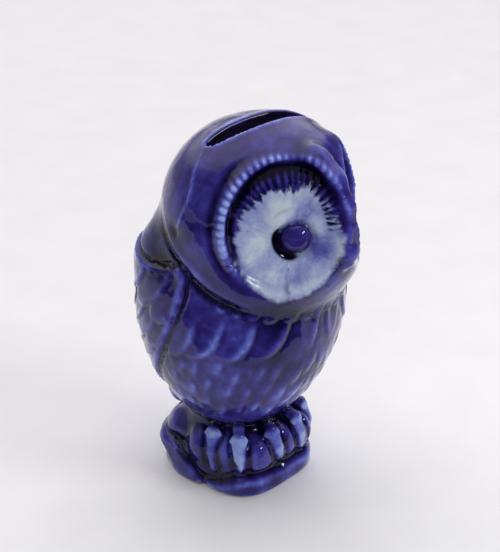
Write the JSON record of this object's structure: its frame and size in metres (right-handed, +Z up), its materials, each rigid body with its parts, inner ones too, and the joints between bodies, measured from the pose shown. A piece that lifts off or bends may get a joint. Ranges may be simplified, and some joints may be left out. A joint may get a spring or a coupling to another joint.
{
  "type": "figural coin bank",
  "caption": "Hollow glazed ceramic owl money box on a rocky perch, with a coin slot across its crown and a soft pull-out stopper in its base.",
  "frame": {"origin": "on the ground under the middle of the bounding box", "axes": "+Z up through the crown, -Y the way the owl looks, +X the owl's left"},
  "size_m": [0.0696, 0.0814, 0.1299],
  "materials": {
    "cobalt_glaze": "high gloss, thin over ridges and pooled dark in the grooves",
    "stopper_rubber": "matte"
  },
  "bodies": {
    "bank": {"ceramic_shell": "cobalt_glaze"},
    "stopper": {"base_stopper": "stopper_rubber"}
  },
  "joints": [
    {"name": "stopper_pull", "type": "slide", "parent": "bank", "child": "stopper", "axis": [0, 0, -1], "range_m": [0, 0.03]}
  ]
}
